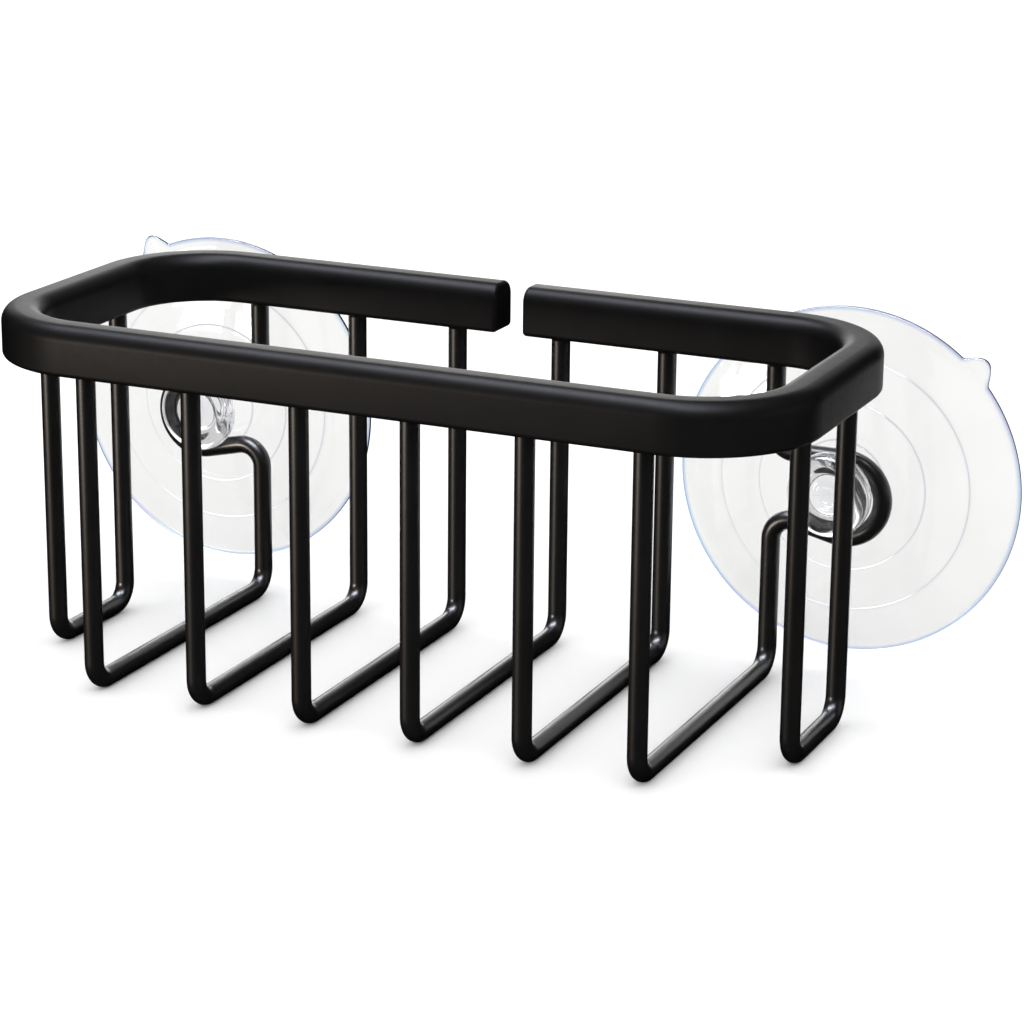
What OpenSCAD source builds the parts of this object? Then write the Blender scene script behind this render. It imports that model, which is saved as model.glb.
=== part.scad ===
// Wire shower caddy that hangs from two suction cups.
// An open rim bar with a rounded top carries six cross rods and two end rods, all bent to a U.
// The outermost cross rods have a loop in their rear legs, and the neck of a soft
// clear suction cup hangs in each loop, so that the cup can turn.
// X runs along the wall, Y points to the wall and Z is up. The origin lies on the
// standing surface, under the centre of the whole object. All sizes are in mm.

/* [Rim] */
// Outside length of the rim, from side to side
rim_l = 199; // [197:1:205]
// Outside depth of the rim, from front to back
rim_d = 92.4; // [90:0.2:100]
// Height of the top of the rim above the standing surface
rim_top = 88.1; // [84:0.1:110]
// Thickness of the rim bar, seen from above
bar_t = 9.8; // [9:0.1:11]
// Height of the rim bar
bar_h = 11.7; // [11:0.1:16]
// Rounding of the bar's two upper edges
round_top = 3.6; // [2:0.1:4]
// Rounding of the bar's two lower edges
round_low = 1.2; // [0.5:0.1:2]
// Outside radius of the rim's corners
corner_r = 28; // [24:1:32]
// Width of the gap between the ends of the rim bar
rim_gap = 6.9; // [5:0.1:10]
// Distance of that gap from the middle of the rim
rim_gap_x = 1.6; // [-2:0.1:2]

/* [Rods] */
// Diameter of the rods
rod_d = 4.5; // [4:0.1:4.8]
// Distance from one cross rod to the next
rod_pitch = 27.25; // [27:0.05:27.5]
// Distance of the rods' legs from the centre line of the rim bar, inwards
rod_inset = 0.8; // [0:0.1:1]
// Distance between the two legs of an end rod
end_rod_span = 30.8; // [28:0.1:34]
// How far the end rods stand inside the middle of the rim bar
end_rod_inset = 0.7; // [0:0.1:1]
// Radius of the rods' bends, at the centre line
bend_r = 5.2; // [4.5:0.1:7]
// Depth of the holes in the rim that hold the rods' ends
seat_depth = 4.2; // [3:0.1:5]
// Clearance around a rod's end in its hole
seat_clear = 0.03; // [0.02:0.01:0.06]

/* [Loops] */
// Radius of the loop, at the centre line of the rod
loop_r = 9.4; // [9.2:0.1:10]
// Distance of the loop's centre from the leg that carries it, outwards
loop_out = 17.5; // [17:0.1:19]
// Height of the loop's centre
loop_z = 46; // [45:0.1:48]
// Slope of the loop's lower arm, in degrees
arm_slope = 13; // [10:1:15]

/* [Suction cups] */
// Diameter of a cup at its lip
cup_d = 83.4; // [80:0.1:86]
// Distance of the cups' axes from the middle of the rim
cup_x = 83.6; // [83.2:0.1:84]
// Height of the cups' axes
cup_z = 47.7; // [47.5:0.1:47.8]
// Diameter of the head that keeps the neck in the loop
head_d = 20.2; // [18:0.1:21]
// Diameter of the neck
neck_d = 10.2; // [9:0.1:10.3]
// Distance from the rods' rear legs to the wall
wall_gap = 9.6; // [9.4:0.1:11]
// Angle of the right cup's pull tab above the horizontal, outwards
tab_angle_right = 45; // [0:5:90]
// Angle of the left cup's pull tab above the horizontal, outwards
tab_angle_left = 62; // [0:1:90]

/* [Hidden] */
$fn = 64;
rod_r = rod_d / 2;
rim_bottom = rim_top - bar_h;
cross_rods = 6;
rod_x0 = -rod_pitch * (cross_rods - 1) / 2;
rod_y = (rim_d - bar_t) / 2 - rod_inset;
end_rod_x = (rim_l - bar_t) / 2 - end_rod_inset;
leg_top = rim_bottom + seat_depth;
wall_y = rod_y + wall_gap;
// Places are worked out from the middle of the rim and then moved to the origin
mid_y = (wall_y - rim_d / 2) / 2;
// The loop's sloping arm runs this far into its bends, and its radius is this much smaller
arm_lap = 0.2;
arm_shy = 0.02;

// Extra length that lets a cutting shape run clear of what it cuts
clear_cut = 1;

// Cup, as distances behind the rods' rear legs. Its neck is longer than the rod is
// thick, by these two amounts of play in front of the rod and behind it
play_front = 0.5;
play_back = 0.7;
head_front = -7.9;
head_round = 4.5;
head_ease = 0.6;
head_back = -rod_r - play_front;
disc_front = rod_r + play_back;
disc_back = 6.1;
lip_front = 8.4;
lip_ease = 0.2;
lip_flat = 2.2;
cup_r = cup_d / 2;
neck_r = neck_d / 2;
head_r = head_d / 2;
boss_r = 11;
tab_w = 8.4;
tab_out = 4.8;
tab_t = 1.1;
ring_radii = [20.3, 30.4];
ring_step = 0.25;
ring_slope = 0.2;
back_steps = 9;

black = [0.09, 0.085, 0.085];
clear = [0.86, 0.88, 0.93, 0.55];

function rod_x(i) = rod_x0 + i * rod_pitch;

function arc(c, r, a0, a1, steps) =
    [for (i = [0:steps]) c + r * [cos(a0 + (a1 - a0) * i / steps), sin(a0 + (a1 - a0) * i / steps)]];

// Moves the rim's middle to its place relative to the origin
module in_place() {
    translate([0, -mid_y, 0]) children();
}

// One edge of the bar's section, rounded: the circle's centre is r inside both faces
module section_corner(inner, z, r) {
    translate([inner ? r - bar_t : -r, z]) circle(r = r);
}

// Section of the rim bar: flat below and rounded above, its outer face at x = 0
module bar_section() {
    translate([-bar_t, round_low]) square([bar_t, bar_h - round_low - round_top]);
    translate([round_low - bar_t, 0]) square([bar_t - 2 * round_low, bar_h - round_top]);
    translate([round_top - bar_t, round_low]) square([bar_t - 2 * round_top, bar_h - round_low]);
    for (inner = [false, true]) {
        section_corner(inner, round_low, round_low);
        section_corner(inner, bar_h - round_top, round_top);
    }
}

// Straight run of the rim bar: starts at [x, y], heads along angle a, outer face to its right
module bar_run(x, y, a, length) {
    translate([x, y, rim_bottom])
        rotate([0, 0, a])
            rotate([90, 0, 90])
                linear_extrude(length) translate([bar_t, 0]) bar_section();
}

// One corner of the rim bar, bent through 90 degrees from angle a
module bar_corner(x, y, a) {
    translate([x, y, rim_bottom])
        rotate([0, 0, a])
            rotate_extrude(angle = 90, $fn = 128)
                translate([corner_r, 0]) bar_section();
}

// Blind holes in the underside of the rim, one for each rod's end
module rod_seats() {
    seat_r = rod_r + seat_clear;
    for (i = [0:cross_rods - 1], s = [-1, 1])
        translate([rod_x(i), s * rod_y, rim_bottom - clear_cut])
            cylinder(r = seat_r, h = clear_cut + seat_depth + seat_clear);
    for (sx = [-1, 1], sy = [-1, 1])
        translate([sx * end_rod_x, sy * end_rod_span / 2, rim_bottom - clear_cut])
            cylinder(r = seat_r, h = clear_cut + seat_depth + seat_clear);
}

// The rim: one bar bent to a rounded rectangle, open at the back
module rim_bar() {
    hx = rim_l / 2;
    hy = rim_d / 2;
    cx = hx - corner_r;
    cy = hy - corner_r;
    gap_left = rim_gap_x - rim_gap / 2;
    gap_right = rim_gap_x + rim_gap / 2;
    color(black) in_place() difference() {
        union() {
            bar_run(-cx, -hy, 0, 2 * cx);
            bar_corner(cx, -cy, 270);
            bar_run(hx, -cy, 90, 2 * cy);
            bar_corner(cx, cy, 0);
            bar_run(cx, hy, 180, cx - gap_right);
            bar_run(gap_left, hy, 180, cx + gap_left);
            bar_corner(-cx, cy, 90);
            bar_run(-hx, cy, 270, 2 * cy);
            bar_corner(-cx, -cy, 180);
        }
        rod_seats();
    }
}

// A bend in the Y-Z plane: centre [y, z], from angle a through 90 degrees
module bend_yz(y, z, a) {
    translate([0, y, z])
        rotate([90, 0, 90])
            rotate([0, 0, a])
                rotate_extrude(angle = 90) translate([bend_r, 0]) circle(r = rod_r);
}

// Floor run and both bottom bends of a rod whose legs stand at y = -half and y = half
module rod_floor(half) {
    translate([0, -half + bend_r, rod_r])
        rotate([-90, 0, 0]) cylinder(r = rod_r, h = 2 * (half - bend_r));
    bend_yz(-half + bend_r, rod_r + bend_r, 180);
    bend_yz(half - bend_r, rod_r + bend_r, 270);
}

// Straight leg from height z0 to z1
module leg(y, z0, z1) {
    translate([0, y, z0]) cylinder(r = rod_r, h = z1 - z0);
}

// A plain U-shaped rod at x, with its legs at y = -half and y = half
module plain_rod(x, half) {
    color(black) in_place() translate([x, 0, 0]) {
        rod_floor(half);
        leg(-half, rod_r + bend_r, leg_top);
        leg(half, rod_r + bend_r, leg_top);
    }
}

// A bend in the X-Z plane: centre [x, z], radius r, from angle a through sweep
module bend_xz(x, z, r, a, sweep) {
    translate([x, 0, z])
        rotate([90, 0, 0])
            rotate([0, 0, a])
                rotate_extrude(angle = sweep) translate([r, 0]) circle(r = rod_r);
}

// Rear leg with the loop: up, out along the lower arm, round, back along the upper arm, up.
// The sloping arm is a hair thinner than the bends that it runs into.
module loop_leg() {
    arm_end = 90 - arm_slope;
    touch = [loop_out - loop_r * sin(arm_slope), loop_z - loop_r * cos(arm_slope)];
    arm_x = bend_r + bend_r * cos(arm_end);
    rise = (touch[0] - arm_x) * tan(arm_slope);
    low_bend = round((touch[1] + rise - bend_r * sin(arm_end)) * 100) / 100;
    arm_z = low_bend + bend_r * sin(arm_end);
    high_bend = loop_z + loop_r + bend_r;
    leg(0, rod_r + bend_r, low_bend);
    bend_xz(bend_r, low_bend, bend_r, 180, -90 - arm_slope);
    translate([arm_x, 0, arm_z])
        rotate([0, 90 + arm_slope, 0])
            translate([0, 0, -arm_lap])
                cylinder(r = rod_r - arm_shy, h = (touch[0] - arm_x) / cos(arm_slope) + 2 * arm_lap);
    bend_xz(loop_out, loop_z, loop_r, -90, -arm_slope);
    bend_xz(loop_out, loop_z, loop_r, -90, 180);
    translate([bend_r, 0, loop_z + loop_r])
        rotate([0, 90, 0]) cylinder(r = rod_r, h = loop_out - bend_r);
    bend_xz(bend_r, high_bend, bend_r, 180, 90);
    leg(0, high_bend, leg_top);
}

// An outermost cross rod, with a plain front leg and a looped rear leg
module loop_rod(side) {
    color(black) in_place() translate([side * -rod_x0, 0, 0]) {
        rod_floor(rod_y);
        leg(-rod_y, rod_r + bend_r, leg_top);
        translate([0, rod_y, 0]) {
            if (side > 0) loop_leg();
            else mirror([1, 0, 0]) loop_leg();
        }
    }
}

// Front and back of the cup's disc at radius r
function front_at(r) = disc_front + (lip_front - disc_front) * pow(r / cup_r, 2.4)
    - ring_step * len([for (q = ring_radii) if (r < q) 1]) / len(ring_radii);
function back_at(r) = disc_back + (wall_gap - disc_back) * pow(r / (cup_r - lip_flat), 3);

// The two radii that a ring's small slope runs between
function slope_at(ring) = [ring - ring_slope / 2, ring + ring_slope / 2];
front_radii = concat([14, 17], slope_at(ring_radii[0]), [24, 27], slope_at(ring_radii[1]), [33, 36, 39]);

// Half outline of the cup: radius, and distance behind the rods' rear legs
cup_outline = concat(
    [[0, head_front]],
    arc([head_r - head_round, head_front + head_round], head_round, -90, 0, 8),
    [[head_r, head_back - head_ease], [head_r - head_ease, head_back], [neck_r, head_back]],
    [[neck_r, disc_front], [boss_r, disc_front]],
    [for (r = front_radii) [r, front_at(r)]],
    [[cup_r, lip_front + lip_ease], [cup_r, wall_gap], [cup_r - lip_flat, wall_gap]],
    [for (i = [back_steps - 1:-1:0]) let (r = (cup_r - lip_flat) * i / back_steps) [r, back_at(r)]]
);

// The flat tongue at the lip, which a finger lifts to let air in
module pull_tab() {
    reach = cup_r + tab_out - tab_w / 2;
    translate([0, 0, -tab_t]) linear_extrude(tab_t) {
        translate([0, -tab_w / 2]) square([reach, tab_w]);
        translate([reach, 0]) circle(d = tab_w);
    }
}

// A soft clear suction cup: head, neck and disc moulded in one, with a pull tab
module suction_cup(side, tab_angle) {
    color(clear) in_place() translate([side * cup_x, rod_y, cup_z])
        rotate([-90, 0, 0]) {
            rotate_extrude($fn = 96) polygon(cup_outline);
            difference() {
                translate([0, 0, wall_gap])
                    rotate([0, 0, side > 0 ? -tab_angle : 180 + tab_angle]) pull_tab();
                translate([0, 0, wall_gap - 2 * tab_t])
                    cylinder(r = cup_r - lip_flat / 2, h = 3 * tab_t);
            }
        }
}

rim_bar();
loop_rod(-1);  // cross_rod_left_loop
plain_rod(rod_x(1), rod_y);  // cross_rod_2
plain_rod(rod_x(2), rod_y);  // cross_rod_3
plain_rod(rod_x(3), rod_y);  // cross_rod_4
plain_rod(rod_x(4), rod_y);  // cross_rod_5
loop_rod(1);  // cross_rod_right_loop
plain_rod(-end_rod_x, end_rod_span / 2);  // end_rod_left
plain_rod(end_rod_x, end_rod_span / 2);  // end_rod_right
suction_cup(-1, tab_angle_left);  // suction_cup_left
suction_cup(1, tab_angle_right);  // suction_cup_right
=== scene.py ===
import math

import bmesh
import bpy
from mathutils import Matrix, Vector


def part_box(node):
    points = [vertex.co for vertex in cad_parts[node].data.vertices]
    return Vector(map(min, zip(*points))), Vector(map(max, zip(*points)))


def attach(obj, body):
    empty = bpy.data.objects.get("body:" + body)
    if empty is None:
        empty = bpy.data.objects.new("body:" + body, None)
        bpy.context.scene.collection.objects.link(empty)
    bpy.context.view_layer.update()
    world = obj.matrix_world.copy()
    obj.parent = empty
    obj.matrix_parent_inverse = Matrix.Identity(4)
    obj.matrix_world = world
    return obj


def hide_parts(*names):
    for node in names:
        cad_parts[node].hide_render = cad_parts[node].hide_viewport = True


# A wire shower caddy: a black coated basket of bent bar and rod, and two clear
# suction cups whose necks sit in loops of its outer rods. Lengths are in metres.
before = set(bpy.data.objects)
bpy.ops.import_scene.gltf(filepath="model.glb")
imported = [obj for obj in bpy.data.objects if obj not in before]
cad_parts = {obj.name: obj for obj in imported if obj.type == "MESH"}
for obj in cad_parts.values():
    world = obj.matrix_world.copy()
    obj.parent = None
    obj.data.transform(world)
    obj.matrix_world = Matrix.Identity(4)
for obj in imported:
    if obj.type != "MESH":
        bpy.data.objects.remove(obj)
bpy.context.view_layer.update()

# ---------------------------------------------------------------------------
# The black coat
# Powder paint baked on the whole welded basket: satin, almost neutral black, with the
# fine orange peel of melted powder. Both coats below stand for the one paint: the rods'
# highlights are stronger in the photo than the bar's, so the rods are given more gloss.
# ---------------------------------------------------------------------------
coat_colour = (0.0042, 0.0036, 0.0036, 1.0)
coat_colour_thin = (0.0060, 0.0052, 0.0052, 1.0)
clouds_per_metre = 60.0
specks_per_metre = 550.0
peel_per_metre = 1100.0
peel_depth = 0.00003


def add_node(tree, kind, **settings):
    """Adds a shader node and sets its properties and its sockets' own values."""
    node = tree.nodes.new(kind)
    for name, value in settings.items():
        if hasattr(node, name):
            setattr(node, name, value)
        else:
            node.inputs[name.replace("_", " ")].default_value = value
    return node


def add_ramp(tree, low, low_colour, high, high_colour):
    """Adds a colour ramp that runs from low_colour at low to high_colour at high."""
    ramp = tree.nodes.new("ShaderNodeValToRGB")
    first, last = ramp.color_ramp.elements
    first.position = low
    first.color = low_colour
    last.position = high
    last.color = high_colour
    return ramp


def make_coat(name, gloss, smoothest, roughest):
    """The coat's material; its roughness wanders between smoothest and roughest."""
    material = bpy.data.materials.new(name)
    material.use_nodes = True
    tree = material.node_tree
    shader = tree.nodes["Principled BSDF"]
    shader.inputs["Specular IOR Level"].default_value = gloss
    place = add_node(tree, "ShaderNodeTexCoord")

    clouds = add_node(tree, "ShaderNodeTexNoise", Scale=clouds_per_metre, Detail=3.0, Roughness=0.6)
    tint = add_ramp(tree, 0.35, coat_colour, 0.7, coat_colour_thin)
    tree.links.new(place.outputs["Object"], clouds.inputs["Vector"])
    tree.links.new(clouds.outputs["Fac"], tint.inputs["Fac"])
    tree.links.new(tint.outputs["Color"], shader.inputs["Base Color"])

    speck = add_node(tree, "ShaderNodeTexNoise", Scale=specks_per_metre, Detail=4.0, Roughness=0.7)
    sheen = add_node(tree, "ShaderNodeMapRange", To_Min=smoothest, To_Max=roughest)
    tree.links.new(place.outputs["Object"], speck.inputs["Vector"])
    tree.links.new(speck.outputs["Fac"], sheen.inputs["Value"])
    tree.links.new(sheen.outputs["Result"], shader.inputs["Roughness"])

    peel = add_node(tree, "ShaderNodeTexNoise", Scale=peel_per_metre, Detail=2.0, Roughness=0.5)
    bump = add_node(tree, "ShaderNodeBump", Strength=0.35, Distance=peel_depth)
    tree.links.new(place.outputs["Object"], peel.inputs["Vector"])
    tree.links.new(peel.outputs["Fac"], bump.inputs["Height"])
    tree.links.new(bump.outputs["Normal"], shader.inputs["Normal"])
    return material


bar_coat = make_coat("bar_powder_coat", gloss=0.085, smoothest=0.40, roughest=0.50)
rod_coat = make_coat("rod_powder_coat", gloss=0.66, smoothest=0.29, roughest=0.38)

# ---------------------------------------------------------------------------
# The rim
# One steel bar, well rounded above and almost square below, bent to a rounded
# rectangle on a former. Its two sawn ends are eased and stand apart at the back.
# ---------------------------------------------------------------------------
rim_low, rim_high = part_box("rim_bar")
bar_thick = 0.0098
bar_tall = rim_high.z - rim_low.z
bar_round_top = 0.0036
bar_round_low = 0.0012
bar_round_steps = 14
rim_corner = 0.028
rim_gap = (-0.00185, 0.00505)
corner_steps = 30
end_ease = 0.0010
end_steps = 5
double_gap = 1e-6


def ring_across(bm, place, heading, radius, sides):
    """A ring of edges across the heading, turned by half a side."""
    turn = heading.to_track_quat("Z", "Y").to_matrix().to_4x4()
    half_side = Matrix.Rotation(math.pi / sides, 4, "Z")
    ring = bmesh.ops.create_circle(
        bm, segments=sides, radius=radius, matrix=Matrix.Translation(place) @ turn @ half_side)
    return list({edge for vert in ring["verts"] for edge in vert.link_edges})


def push_straight(bm, edges, shift):
    """Extrudes the open ring of edges by shift and returns the new open ring."""
    made = bmesh.ops.extrude_edge_only(bm, edges=edges)["geom"]
    verts = {item for item in made if isinstance(item, bmesh.types.BMVert)}
    bmesh.ops.translate(bm, verts=list(verts), vec=shift)
    return [item for item in made
            if isinstance(item, bmesh.types.BMEdge) and set(item.verts) <= verts]


def push_round(bm, edges, centre, axis, angle, steps):
    """Sweeps the open ring of edges round a bend and returns the new open ring."""
    last = bmesh.ops.spin(
        bm, geom=edges, cent=centre, axis=axis, dvec=(0, 0, 0), angle=angle,
        steps=steps, use_merge=False, use_duplicate=False)["geom_last"]
    return [item for item in last if isinstance(item, bmesh.types.BMEdge)]


def bend_bar(bm, edges, place, heading, jig):
    """Runs a bar through a jig: numbers are straight lengths, and (axis, degrees,
    radius, steps) is a bend. Place and heading are those of the first ring."""
    place, heading = Vector(place), Vector(heading)
    for move in jig:
        if isinstance(move, float):
            edges = push_straight(bm, edges, heading * move)
            place += heading * move
        else:
            axis, degrees, radius, steps = Vector(move[0]), *move[1:]
            centre = place - heading.cross(axis) * radius
            edges = push_round(bm, edges, centre, axis, math.radians(degrees), steps)
            turn = Matrix.Rotation(math.radians(degrees), 3, axis)
            place = centre + turn @ (place - centre)
            heading = turn @ heading


def finish_mesh(bm, name, material, sharp_degrees=40.0):
    """Closes a piece: joins doubles, points faces outwards and shades it smooth."""
    bmesh.ops.remove_doubles(bm, verts=bm.verts, dist=double_gap)
    bmesh.ops.recalc_face_normals(bm, faces=bm.faces)
    for face in bm.faces:
        face.smooth = True
    for edge in bm.edges:
        if len(edge.link_faces) == 2:
            edge.smooth = edge.calc_face_angle() < math.radians(sharp_degrees)
    mesh = bpy.data.meshes.new(name)
    bm.to_mesh(mesh)
    bm.free()
    piece = bpy.data.objects.new(name, mesh)
    bpy.context.scene.collection.objects.link(piece)
    mesh.materials.append(material)
    return piece


def open_edges(bm):
    """The edges with a face on one side only."""
    return [edge for edge in bm.edges if edge.is_boundary]


def make_rim():
    bm = bmesh.new()
    half_bar = bar_thick / 2
    back_line = rim_high.y - half_bar
    start = Vector((rim_gap[0], back_line, (rim_low.z + rim_high.z) / 2))
    # The bar's section is a flat square, stretched and with its corners rounded
    sides = Matrix.Diagonal((1.0, bar_thick, bar_tall, 1.0))
    upright = Matrix.Rotation(math.pi / 2, 4, "Y")
    bmesh.ops.create_grid(
        bm, x_segments=1, y_segments=1, size=0.5,
        matrix=Matrix.Translation(start) @ sides @ upright)
    for rounding, upper in ((bar_round_top, True), (bar_round_low, False)):
        corners = [vert for vert in bm.verts if (vert.co.z > start.z) == upper]
        bmesh.ops.bevel(
            bm, geom=corners, offset=rounding, offset_type="OFFSET", segments=bar_round_steps,
            profile=0.5, affect="VERTICES", material=-1)
    edges = open_edges(bm)
    bmesh.ops.delete(bm, geom=bm.faces[:], context="FACES_ONLY")

    half_long = (rim_high.x - rim_low.x) / 2
    half_deep = (rim_high.y - rim_low.y) / 2
    corner = ((0, 0, 1), 90.0, rim_corner - half_bar, corner_steps)
    side_run = 2 * (half_deep - rim_corner)
    jig = [
        half_long - rim_corner + rim_gap[0], corner,
        side_run, corner,
        2 * (half_long - rim_corner), corner,
        side_run, corner,
        half_long - rim_corner - rim_gap[1]]
    bend_bar(bm, edges, start, (-1, 0, 0), jig)
    ends = open_edges(bm)
    bmesh.ops.holes_fill(bm, edges=ends, sides=0)
    bmesh.ops.bevel(
        bm, geom=ends, offset=end_ease, offset_type="OFFSET", segments=end_steps,
        profile=0.5, affect="EDGES", material=-1)
    return finish_mesh(bm, "rim", bar_coat, sharp_degrees=50.0)


rim = make_rim()
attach(rim, "basket")
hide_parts("rim_bar")

# ---------------------------------------------------------------------------
# The plain rods
# Round steel rod bent to a U in a jig: four cross rods run from front to back, and a
# narrow one stands at each end. Their ends sit in the underside of the rim.
# ---------------------------------------------------------------------------
rod_low, rod_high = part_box("cross_rod_2")
rod_radius = (rod_high.x - rod_low.x) / 2
rod_bend = 0.0052
rod_sides = 32
rod_bend_steps = 14
plain_rods = {
    "cross_rod_2": "cross_rod_second",
    "cross_rod_3": "cross_rod_third",
    "cross_rod_4": "cross_rod_fourth",
    "cross_rod_5": "cross_rod_fifth",
    "end_rod_left": "left_end_rod",
    "end_rod_right": "right_end_rod",
}


def lower_half_jig(low, high):
    """Jig from the top of the front leg down, along the floor and up to the rear bend's end."""
    leg = high.z - rod_radius - rod_bend
    floor_run = (high.y - low.y) - 2 * rod_radius - 2 * rod_bend
    bend = ((1, 0, 0), 90.0, rod_bend, rod_bend_steps)
    return [leg, bend, floor_run, bend]


def start_rod(bm, low, high):
    """The open ring at the top of a rod's front leg, with its place and heading."""
    place = Vector(((low.x + high.x) / 2, low.y + rod_radius, high.z))
    heading = Vector((0, 0, -1))
    return ring_across(bm, place, heading, rod_radius, rod_sides), place, heading


def close_rod(bm, name):
    bmesh.ops.holes_fill(bm, edges=open_edges(bm), sides=0)
    return finish_mesh(bm, name, rod_coat)


def make_plain_rod(node, name):
    low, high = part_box(node)
    bm = bmesh.new()
    edges, place, heading = start_rod(bm, low, high)
    leg_up = high.z - low.z - rod_radius - rod_bend
    bend_bar(bm, edges, place, heading, lower_half_jig(low, high) + [leg_up])
    return close_rod(bm, name)


for node, name in plain_rods.items():
    rod = make_plain_rod(node, name)
    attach(rod, "basket")
    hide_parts(node)

# ---------------------------------------------------------------------------
# The two loop rods
# The outermost cross rods. On its way up, the rear leg of each is bent outwards, round
# an open loop and back again, so that a suction cup's neck can be slipped into it.
# ---------------------------------------------------------------------------
loop_radius = 0.0094
loop_reach = 0.0175
loop_height = 0.046
arm_slope = math.radians(13.0)
loop_steps = 40
arm_steps = 16


def loop_jig(side, leg_foot, leg_top):
    """Jig of the looped rear leg, from the floor bend's end to the rod's end."""
    arm_end = math.pi / 2 - arm_slope
    touch_x = loop_reach - loop_radius * math.sin(arm_slope)
    touch_z = loop_height - loop_radius * math.cos(arm_slope)
    arm_x = rod_bend + rod_bend * math.cos(arm_end)
    arm_z = touch_z + (touch_x - arm_x) * math.tan(arm_slope)
    low_leg = arm_z - rod_bend * math.sin(arm_end)
    upper_arm = loop_height + loop_radius
    outwards = (0, side, 0)
    inwards = (0, -side, 0)
    slope = math.degrees(arm_slope)
    return [
        low_leg - leg_foot,
        (outwards, 90.0 + slope, rod_bend, arm_steps),
        (touch_x - arm_x) / math.cos(arm_slope),
        (inwards, 180.0 + slope, loop_radius, loop_steps),
        loop_reach - rod_bend,
        (outwards, 90.0, rod_bend, arm_steps),
        leg_top - upper_arm - rod_bend,
    ]


def make_loop_rod(node, name, side):
    low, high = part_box(node)
    leg_x = high.x - rod_radius if side < 0 else low.x + rod_radius
    leg_low = Vector((leg_x - rod_radius, low.y, low.z))
    leg_high = Vector((leg_x + rod_radius, high.y, high.z))
    bm = bmesh.new()
    edges, place, heading = start_rod(bm, leg_low, leg_high)
    jig = lower_half_jig(leg_low, leg_high)
    jig += loop_jig(side, rod_radius + rod_bend, high.z)
    bend_bar(bm, edges, place, heading, jig)
    return close_rod(bm, name)


for node, name, side in (("cross_rod_left_loop", "left_loop_rod", -1),
                         ("cross_rod_right_loop", "right_loop_rod", 1)):
    rod = make_loop_rod(node, name, side)
    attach(rod, "basket")
    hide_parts(node)

# ---------------------------------------------------------------------------
# The weld fillets
# Where each rod meets the underside of the rim, a small weld is dressed smooth and
# covered by the coat, which leaves a short flare at the top of the rod.
# ---------------------------------------------------------------------------
weld_flare = [
    (-0.0006, 0.00001), (-0.0004, 0.00005), (-0.0002, 0.00016), (0.0, 0.00038),
    (0.0003, 0.00040)]
weld_bore_share = 0.6
weld_sides = 32


def rod_tops():
    """Where the rods' legs meet the rim: the middle of each leg."""
    tops = []
    for node in plain_rods:
        low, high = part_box(node)
        middle = (low.x + high.x) / 2
        tops += [(middle, low.y + rod_radius), (middle, high.y - rod_radius)]
    for node, side in (("cross_rod_left_loop", -1), ("cross_rod_right_loop", 1)):
        low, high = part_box(node)
        middle = high.x - rod_radius if side < 0 else low.x + rod_radius
        tops += [(middle, low.y + rod_radius), (middle, high.y - rod_radius)]
    return tops


def make_welds():
    """One flare at each rod's top: (height from the rim, width past the rod) turned round."""
    bm = bmesh.new()
    for x, y in rod_tops():
        profile = [bm.verts.new((x + rod_radius + out, y, rim_low.z + up))
                   for up, out in weld_flare]
        profile.append(bm.verts.new((x + rod_radius * weld_bore_share, y, profile[-1].co.z)))
        profile.append(bm.verts.new((x + rod_radius * weld_bore_share, y, profile[0].co.z)))
        edges = [bm.edges.new(pair) for pair in zip(profile, profile[1:] + profile[:1])]
        bmesh.ops.spin(
            bm, geom=profile + edges, cent=(x, y, 0), axis=(0, 0, 1), dvec=(0, 0, 0),
            angle=math.tau, steps=weld_sides, use_merge=True, use_duplicate=False)
    return finish_mesh(bm, "weld_fillets", rod_coat)


welds = make_welds()
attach(welds, "basket")

# ---------------------------------------------------------------------------
# The suction cups
# Soft clear PVC, moulded in one: a dished head, a neck that sits in the loop, and a
# shallow cup with moulded steps, a thin flat lip and a tongue to lift it by. Its faint
# blue shows along its edges as painted light, a violet blue for light carried through
# the sheet, and each moulded step carries a thin grey line of painted shade.
# ---------------------------------------------------------------------------
cup_radius = 0.0417
cup_axis_height = 0.0477
cup_axis_out = 0.0836
wall_gap = 0.0096
# The head and neck, from the front: (radius, distance behind the loop), in millimetres
head_outline = [
    (0.0, -7.45), (0.7, -7.5), (1.15, -7.3), (1.5, -6.95), (2.0, -6.85), (2.35, -7.15), (2.7, -7.3),
    (3.05, -7.15), (3.4, -6.8), (4.4, -6.72), (5.4, -6.85), (6.1, -7.3), (6.7, -7.7), (7.3, -7.85),
    (8.0, -7.7), (8.8, -7.25), (9.5, -6.5), (9.95, -5.6), (10.1, -4.7), (10.0, -3.9), (9.7, -3.3),
    (9.2, -2.9), (8.6, -2.76), (7.2, -2.75), (6.1, -2.75), (5.5, -2.6), (5.15, -2.2), (5.1, -1.6),
    (5.1, 0.0), (5.1, 1.9), (5.2, 2.4), (5.5, 2.75), (6.0, 2.93)]
millimetre = 0.001
step_radii = (0.0112, 0.0203, 0.0304)
step_drop = 0.00028
step_width = 0.00035
step_samples = (-0.6, -0.25, 0.0, 0.25, 0.6)
disc_start = 0.0072
disc_ring_gap = 0.0009
disc_rings = 38
disc_front = 0.00295
disc_back = 0.0061
dome_power = 2.4
hollow_power = 3
hollow_rings = 22
lip_front = 0.0083
lip_flat = 0.0022
lip_round = 0.0006
lip_bulge = 0.6
lip_round_steps = 8
# Width and strength of the painted edge light along the lip
painted_edge_light_width = 0.0005
painted_edge_light_end = 1.5
# Strength of the painted shade along each moulded step, and the depth from which it is painted
painted_step_shade_end = 1.4
painted_step_shade_from = disc_front * 0.9
tab_reach = 0.0038
tab_half_angle = math.radians(6.2)
tab_point = 1.3
tab_angles = {"left": math.radians(62.0), "right": math.radians(45.0)}
tab_margin = 1.2
tab_sweep = 2 * tab_margin * tab_half_angle
wide_steps = 200
tab_steps = 56


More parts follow.
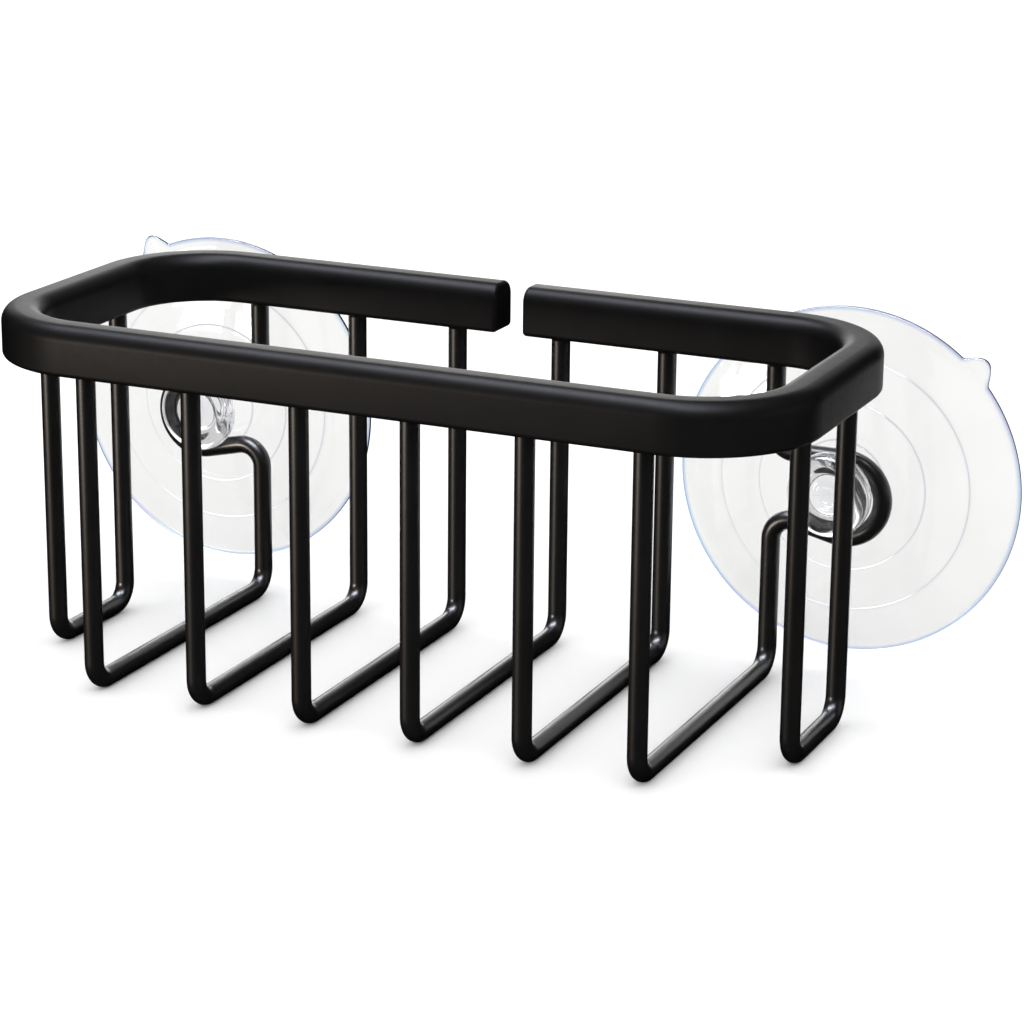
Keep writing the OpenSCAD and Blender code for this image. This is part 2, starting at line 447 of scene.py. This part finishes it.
def disc_front_at(radius):
    """Distance of the cup's front behind the loop's middle, with its moulded steps."""
    dome = disc_front + (lip_front - disc_front) * (radius / cup_radius) ** dome_power
    for step in step_radii:
        past = min(max((radius - step) / step_width + 0.5, 0.0), 1.0)
        dome += step_drop * (past * past * (3 - 2 * past) - radius / cup_radius / 2)
    return dome - step_drop / 2


def disc_back_at(radius):
    """Distance of the hollow's surface behind the loop's middle."""
    across = radius / (cup_radius - lip_flat)
    return disc_back + (wall_gap - disc_back) * across ** hollow_power


def cup_outline():
    """Half outline from the head's centre round the lip to the centre of the hollow."""
    outline = [(r * millimetre, s * millimetre) for r, s in head_outline]
    radii = [disc_start + disc_ring_gap * i for i in range(disc_rings)]
    radii += [step + step_width * part for step in step_radii for part in step_samples]
    outline += [(r, disc_front_at(r)) for r in sorted(radii) if r < cup_radius - 2 * lip_round]
    edge_front = disc_front_at(cup_radius - lip_round)
    edge_middle = (edge_front + wall_gap) / 2
    edge_half = (wall_gap - edge_front) / 2
    for i in range(lip_round_steps + 1):
        angle = -math.pi / 2 + math.pi * i / lip_round_steps
        outline.append((cup_radius - edge_half * lip_bulge * (1 - math.cos(angle)),
                        edge_middle + edge_half * math.sin(angle)))
    outline += [(cup_radius - 2 * lip_round, wall_gap), (cup_radius - lip_flat, wall_gap)]
    hollow = [(cup_radius - lip_flat) * (1 - i / hollow_rings) for i in range(1, hollow_rings)]
    outline += [(r, disc_back_at(r)) for r in hollow]
    outline.append((0.0, disc_back))
    return outline


def painted_edge_light_at(inside):
    """How strongly the painted edge light colours a point that lies this far inside the lip's edge.
    """
    return min(max(painted_edge_light_end - inside / painted_edge_light_width, 0.0), 1.0)


def mark_painted_light_and_shade(bm):
    """Marks the lip's thin edge for painted edge light and the moulded steps for painted shade, in
    the plastic's colour.
    """
    painted_edge_light = bm.verts.layers.float.new("painted_edge_light")
    painted_step_shade = bm.verts.layers.float.new("painted_step_shade")
    for vert in bm.verts:
        radius = math.hypot(vert.co.x, vert.co.z)
        # Painted edge light: the lip's outer edge is marked for a violet blue tint
        vert[painted_edge_light] = painted_edge_light_at(cup_radius - radius)
        # Painted shade: a thin grey line is marked along each moulded step on the cup's front
        if painted_step_shade_from < vert.co.y < disc_back:
            nearest = min(abs(radius - step) for step in step_radii)
            vert[painted_step_shade] = min(max(painted_step_shade_end - nearest / (step_width / 2), 0.0), 1.0)


def spread_tab(bm, middle):
    """Draws the lip out into the pointed tongue, around the angle middle."""
    painted_edge_light = bm.verts.layers.float["painted_edge_light"]
    root = cup_radius - lip_flat
    for vert in bm.verts:
        radius = math.hypot(vert.co.x, vert.co.z)
        if radius <= root:
            continue
        angle = math.atan2(vert.co.z, vert.co.x) - middle
        angle = (angle + math.pi) % math.tau - math.pi
        across = abs(angle) / tab_half_angle
        if across >= 1.0:
            continue
        stretch = tab_reach * math.cos(math.pi / 2 * across) ** tab_point / lip_flat
        grown = radius + (radius - root) * stretch
        # The painted edge light follows the lip's edge out along the tongue
        vert[painted_edge_light] = painted_edge_light_at((cup_radius - radius) * (1 + stretch))
        vert.co.x *= grown / radius
        vert.co.z *= grown / radius


pvc_colour = (0.735, 0.735, 0.724, 1.0)
pvc_colour_clear = (0.780, 0.780, 0.766, 1.0)
# Colours of the painted edge light along the lip
painted_edge_light_violet = (0.32, 0.36, 0.60, 1.0)
painted_edge_light_blue = (0.28, 0.46, 0.66, 1.0)
# Colour of the painted shade along the moulded steps
painted_step_shade_colour = (0.42, 0.43, 0.50, 1.0)
pvc_depth_colour = (0.72, 0.73, 0.79, 1.0)
pvc_depth = 45.0
pvc_bend = 1.47


def make_clear_pvc():
    """Clear plastic with a little haze and scuffing, with painted light along the lip's edge and
    painted shade along the steps.
    """
    material = bpy.data.materials.new("clear_soft_pvc")
    material.use_nodes = True
    tree = material.node_tree
    shader = tree.nodes["Principled BSDF"]
    shader.inputs["Transmission Weight"].default_value = 1.0
    shader.inputs["IOR"].default_value = pvc_bend
    place = add_node(tree, "ShaderNodeTexCoord")

    haze = add_node(tree, "ShaderNodeTexNoise", Scale=45.0, Detail=3.0, Roughness=0.55)
    body = add_ramp(tree, 0.3, pvc_colour, 0.75, pvc_colour_clear)
    tree.links.new(place.outputs["Object"], haze.inputs["Vector"])
    tree.links.new(haze.outputs["Fac"], body.inputs["Fac"])

    # Painted light: the lip's edge is painted violet blue; painted shade gives each moulded step a
    # thin grey line
    edge = add_node(tree, "ShaderNodeAttribute", attribute_name="painted_edge_light")
    painted_edge_hue = add_node(tree, "ShaderNodeTexNoise", Scale=22.0, Detail=1.0)
    painted_edge_colour = add_ramp(tree, 0.4, painted_edge_light_violet, 0.62, painted_edge_light_blue)
    with_painted_edge = add_node(tree, "ShaderNodeMix", data_type="RGBA")
    tree.links.new(place.outputs["Object"], painted_edge_hue.inputs["Vector"])
    tree.links.new(painted_edge_hue.outputs["Fac"], painted_edge_colour.inputs["Fac"])
    tree.links.new(edge.outputs["Fac"], with_painted_edge.inputs["Factor"])
    tree.links.new(body.outputs["Color"], with_painted_edge.inputs["A"])
    tree.links.new(painted_edge_colour.outputs["Color"], with_painted_edge.inputs["B"])
    # Painted shade: the grey line along each moulded step
    step = add_node(tree, "ShaderNodeAttribute", attribute_name="painted_step_shade")
    with_painted_step_shade = add_node(tree, "ShaderNodeMix", data_type="RGBA")
    with_painted_step_shade.inputs["B"].default_value = painted_step_shade_colour
    tree.links.new(step.outputs["Fac"], with_painted_step_shade.inputs["Factor"])
    tree.links.new(with_painted_edge.outputs["Result"], with_painted_step_shade.inputs["A"])
    tree.links.new(with_painted_step_shade.outputs["Result"], shader.inputs["Base Color"])

    scuff = add_node(tree, "ShaderNodeTexNoise", Scale=160.0, Detail=5.0, Roughness=0.65)
    gloss = add_node(
        tree, "ShaderNodeMapRange", From_Min=0.35, From_Max=0.75, To_Min=0.015, To_Max=0.08)
    tree.links.new(place.outputs["Object"], scuff.inputs["Vector"])
    tree.links.new(scuff.outputs["Fac"], gloss.inputs["Value"])
    tree.links.new(gloss.outputs["Result"], shader.inputs["Roughness"])

    wave = add_node(tree, "ShaderNodeTexNoise", Scale=70.0, Detail=1.5, Roughness=0.4)
    bump = add_node(tree, "ShaderNodeBump", Strength=0.2, Distance=0.0003)
    tree.links.new(place.outputs["Object"], wave.inputs["Vector"])
    tree.links.new(wave.outputs["Fac"], bump.inputs["Height"])
    tree.links.new(bump.outputs["Normal"], shader.inputs["Normal"])

    depth = add_node(tree, "ShaderNodeVolumeAbsorption", Color=pvc_depth_colour, Density=pvc_depth)
    tree.links.new(depth.outputs["Volume"], tree.nodes["Material Output"].inputs["Volume"])
    return material


clear_pvc = make_clear_pvc()


def make_cup(name, side, tab_angle):
    """Turns the half outline round in two spins, the first one finer for the tab."""
    loop_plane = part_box("cross_rod_3")[1].y - rod_radius
    middle = tab_angle if side > 0 else math.pi - tab_angle
    bm = bmesh.new()
    # The outline starts at the tab's near side, so that the fine steps cover the tab
    first = middle - tab_sweep / 2
    outline = [
        bm.verts.new((r * math.cos(first), s, r * math.sin(first))) for r, s in cup_outline()]
    edges = [bm.edges.new(pair) for pair in zip(outline, outline[1:])]
    last = bmesh.ops.spin(
        bm, geom=edges, cent=(0, 0, 0), axis=(0, -1, 0), dvec=(0, 0, 0),
        angle=tab_sweep, steps=tab_steps, use_merge=False, use_duplicate=False)["geom_last"]
    edges = [item for item in last if isinstance(item, bmesh.types.BMEdge)]
    bmesh.ops.spin(
        bm, geom=edges, cent=(0, 0, 0), axis=(0, -1, 0), dvec=(0, 0, 0),
        angle=math.tau - tab_sweep, steps=wide_steps, use_merge=False, use_duplicate=False)
    bmesh.ops.remove_doubles(bm, verts=bm.verts, dist=2 * double_gap)
    mark_painted_light_and_shade(bm)
    spread_tab(bm, middle)
    bmesh.ops.translate(bm, verts=bm.verts, vec=(side * cup_axis_out, loop_plane, cup_axis_height))
    return finish_mesh(bm, name, clear_pvc, sharp_degrees=60.0)


for word, side in (("left", -1), ("right", 1)):
    cup = make_cup(word + "_cup", side, tab_angles[word])
    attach(cup, "cup_" + word)
    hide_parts("suction_cup_" + word)

# ---------------------------------------------------------------------------
# The studio
# A wide pale table top in a white room, with five soft lights that show only in gloss. A
# low one at the left draws the streak down each rod, and a big one overhead lights the
# rim's top. The room and the table don't show in gloss.
# ---------------------------------------------------------------------------
floor_half = 6.0
floor_colour = (0.95, 0.95, 0.95, 1.0)
room_colour = (1.0, 1.0, 1.0, 1.0)
room_brightness = 1.40
basket_middle = Vector((0.0, 0.0, 0.06))


def make_floor():
    bm = bmesh.new()
    bmesh.ops.create_grid(bm, x_segments=1, y_segments=1, size=floor_half)
    mesh = bpy.data.meshes.new("floor")
    bm.to_mesh(mesh)
    bm.free()
    floor = bpy.data.objects.new("floor", mesh)
    bpy.context.scene.collection.objects.link(floor)
    material = bpy.data.materials.new("pale_table")
    material.use_nodes = True
    shader = material.node_tree.nodes["Principled BSDF"]
    shader.inputs["Base Color"].default_value = floor_colour
    shader.inputs["Roughness"].default_value = 0.9
    shader.inputs["Specular IOR Level"].default_value = 0.0
    mesh.materials.append(material)
    floor.visible_glossy = False
    return floor


def add_softbox(name, bearing, height, distance, size, brightness, colour):
    """A soft panel that faces the basket and shows in its gloss. The bearing is in
    degrees from the front, positive to the right, and the height is in degrees too.
    Brightness is the power for each square metre of the panel, over pi."""
    turn = math.radians(bearing)
    rise = math.radians(height)
    place = basket_middle + distance * Vector((
        math.sin(turn) * math.cos(rise), -math.cos(turn) * math.cos(rise), math.sin(rise)))
    data = bpy.data.lights.new(name, "AREA")
    data.shape = "RECTANGLE"
    data.size, data.size_y = size
    data.energy = brightness * math.pi * size[0] * size[1]
    data.color = colour
    light = bpy.data.objects.new(name, data)
    bpy.context.scene.collection.objects.link(light)
    light.location = place
    light.rotation_euler = (basket_middle - place).to_track_quat("-Z", "Y").to_euler()
    light.visible_camera = False
    light.visible_diffuse = False


make_floor()
add_softbox("left_strip", -35, -1.5, 0.8, (0.22, 0.07), 86.0, (1.0, 0.88, 0.76))
add_softbox("front_top", -38, 77, 1.1, (1.5, 0.50), 24.0, (0.86, 0.89, 1.0))
add_softbox("right_panel", 95, 6, 1.2, (1.3, 0.3), 0.8, (0.93, 0.94, 1.0))
add_softbox("back_panel", 204, 14, 1.6, (1.6, 0.7), 1.6, (0.98, 0.98, 1.0))
add_softbox("far_strip", -152, 14, 1.3, (0.5, 0.6), 2.6, (1.0, 0.97, 0.93))

world = bpy.data.worlds.new("white_room")
world.use_nodes = True
background = world.node_tree.nodes["Background"]
background.inputs["Color"].default_value = room_colour
background.inputs["Strength"].default_value = room_brightness
world.cycles_visibility.glossy = False
bpy.context.scene.world = world
bpy.context.scene.view_settings.view_transform = "Standard"

# ---------------------------------------------------------------------------
# The camera
# It stands to the front and right of the basket, a little above it, with a long lens.
# ---------------------------------------------------------------------------
camera_place = Vector((0.3017, -0.6232, 0.2520))
camera_heading = math.radians(24.42)
camera_dip = math.radians(16.90)
camera_roll = math.radians(0.57)
camera_lens = 109.5
camera_sensor = 36.0
camera_clip_start = 0.01

camera_data = bpy.data.cameras.new("camera")
camera_data.lens = camera_lens
camera_data.sensor_width = camera_sensor
camera_data.clip_start = camera_clip_start
camera = bpy.data.objects.new("camera", camera_data)
bpy.context.scene.collection.objects.link(camera)
camera.matrix_world = (
    Matrix.Translation(camera_place)
    @ Matrix.Rotation(camera_heading, 4, "Z")
    @ Matrix.Rotation(math.pi / 2 - camera_dip, 4, "X")
    @ Matrix.Rotation(camera_roll, 4, "Z"))
bpy.context.scene.camera = camera
